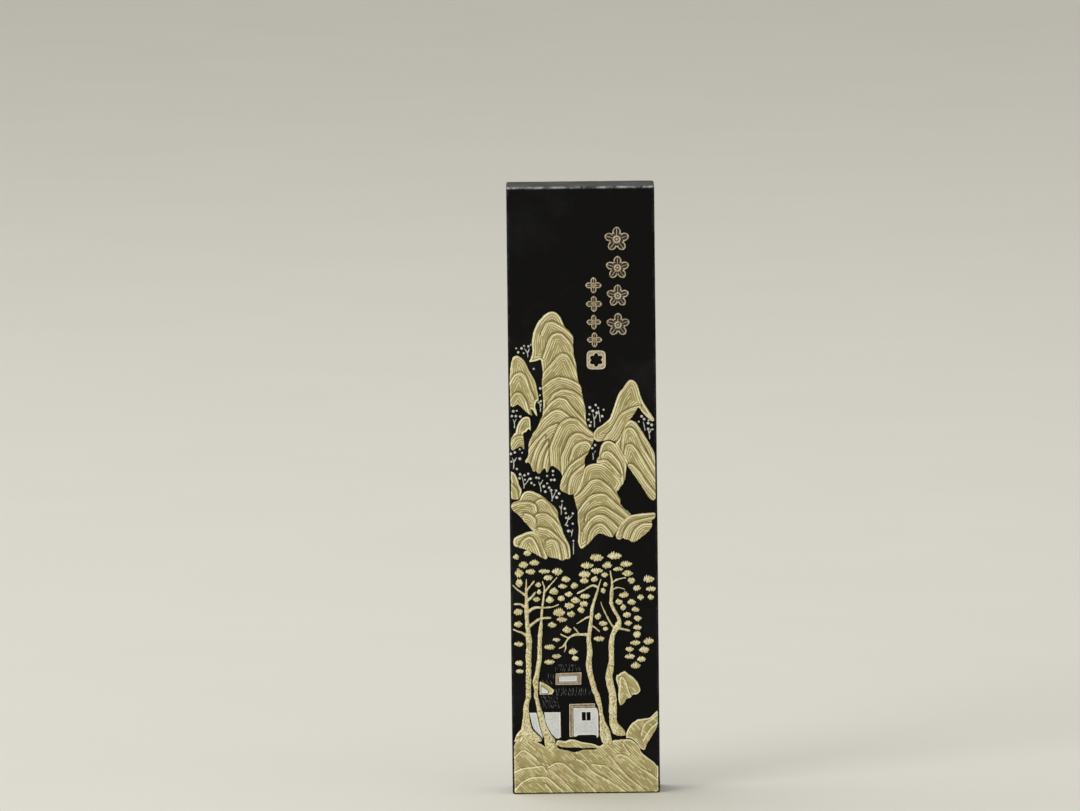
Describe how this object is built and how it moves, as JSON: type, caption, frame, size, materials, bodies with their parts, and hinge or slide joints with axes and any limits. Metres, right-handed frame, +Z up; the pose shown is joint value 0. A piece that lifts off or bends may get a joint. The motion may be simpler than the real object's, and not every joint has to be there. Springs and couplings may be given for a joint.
{
  "type": "ink stick",
  "caption": "Moulded solid ink stick for calligraphy: a bevelled black cake with a low-relief landscape picked out in gold, white and silver paint.",
  "frame": {"origin": "middle of the underside, the plain lower end that is ground on the ink stone", "axes": "+Z up along the stick's length, -Y is the decorated front face, +X to the right as the front is seen"},
  "size_m": [0.03, 0.0128, 0.124],
  "materials": {
    "ink": "pressed soot and glue, satin",
    "gilt": "gold powder paint, satin",
    "white": "white mineral paint, matt",
    "silver": "silver powder paint, satin"
  },
  "bodies": {
    "root": {"ink_block": "ink", "gilt_tree_1": "gilt", "gilt_tree_2": "gilt", "gilt_tree_3": "gilt", "gilt_tree_4": "gilt", "gilt_wall_frame": "gilt", "gilt_window_frame": "gilt", "gilt_gable": "gilt", "gilt_ground": "gilt", "gilt_bank_rock": "gilt", "gilt_standing_rock": "gilt", "gilt_shore_rock": "gilt", "gilt_left_mountain": "gilt", "gilt_left_strip": "gilt", "gilt_wing_rock": "gilt", "gilt_middle_mountain": "gilt", "gilt_shoulder_rock": "gilt", "gilt_right_mountain": "gilt", "gilt_right_ridge": "gilt", "gilt_main_peak": "gilt", "gilt_left_peak": "gilt", "gilt_left_crags": "gilt", "gilt_blossom_1": "gilt", "gilt_blossom_2": "gilt", "gilt_blossom_3": "gilt", "gilt_blossom_4": "gilt", "gilt_quatrefoil_1": "gilt", "gilt_quatrefoil_2": "gilt", "gilt_quatrefoil_3": "gilt", "gilt_quatrefoil_4": "gilt", "gilt_seal_tile": "gilt", "white_window_pane": "white", "white_wall_main": "white", "white_wall_side": "white", "white_wall_back": "white", "silver_sapling_01": "silver", "silver_sapling_02": "silver", "silver_sapling_03": "silver", "silver_sapling_04": "silver", "silver_sapling_05": "silver", "silver_sapling_06": "silver", "silver_sapling_07": "silver", "silver_sapling_08": "silver", "silver_sapling_09": "silver", "silver_sapling_10": "silver", "silver_sapling_11": "silver", "silver_sapling_12": "silver", "silver_sapling_13": "silver"}
  },
  "joints": []
}
